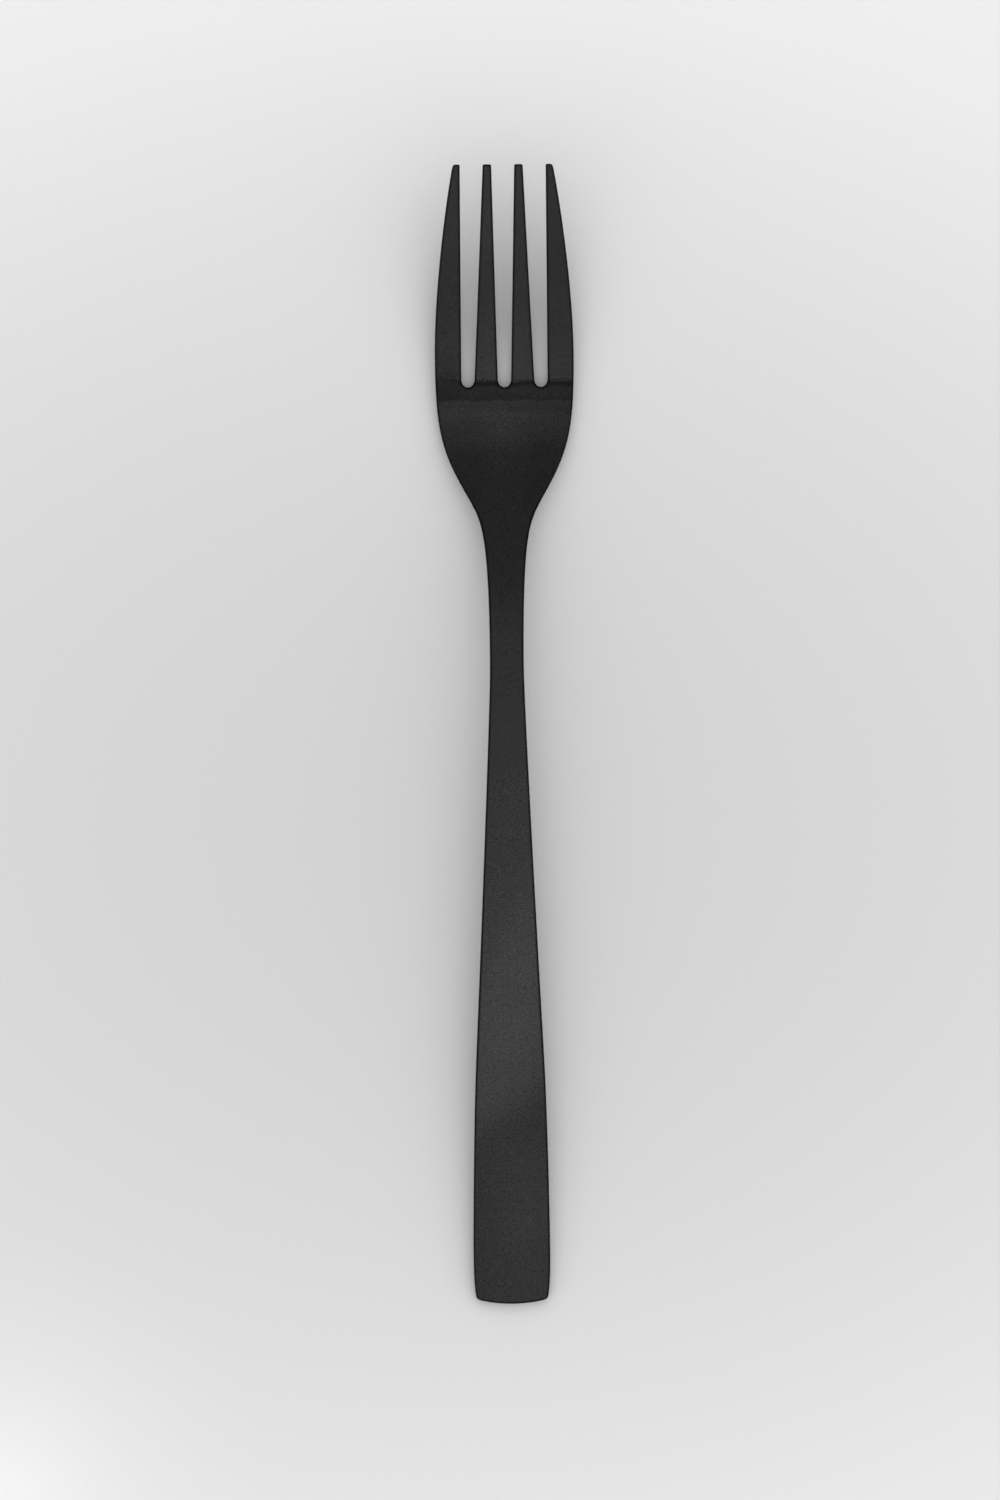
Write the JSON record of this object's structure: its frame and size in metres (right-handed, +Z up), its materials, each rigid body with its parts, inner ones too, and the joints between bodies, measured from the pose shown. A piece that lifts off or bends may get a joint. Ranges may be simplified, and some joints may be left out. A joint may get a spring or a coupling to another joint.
{
  "type": "dinner fork",
  "caption": "Slim black dinner fork: tapered straight tines, rounded shoulders, a narrow arched neck and a flat handle widening to a softly squared end.",
  "frame": {"origin": "on the table under the middle of the fork's length, midway across its width", "axes": "+Y along the fork toward the tine tips, +Z up from the table, +X to the right with the hollow of the head facing up"},
  "size_m": [0.025, 0.205, 0.0157],
  "materials": {
    "black_steel": "satin black coating on stainless steel"
  },
  "bodies": {
    "root": {"fork": "black_steel"}
  },
  "joints": []
}
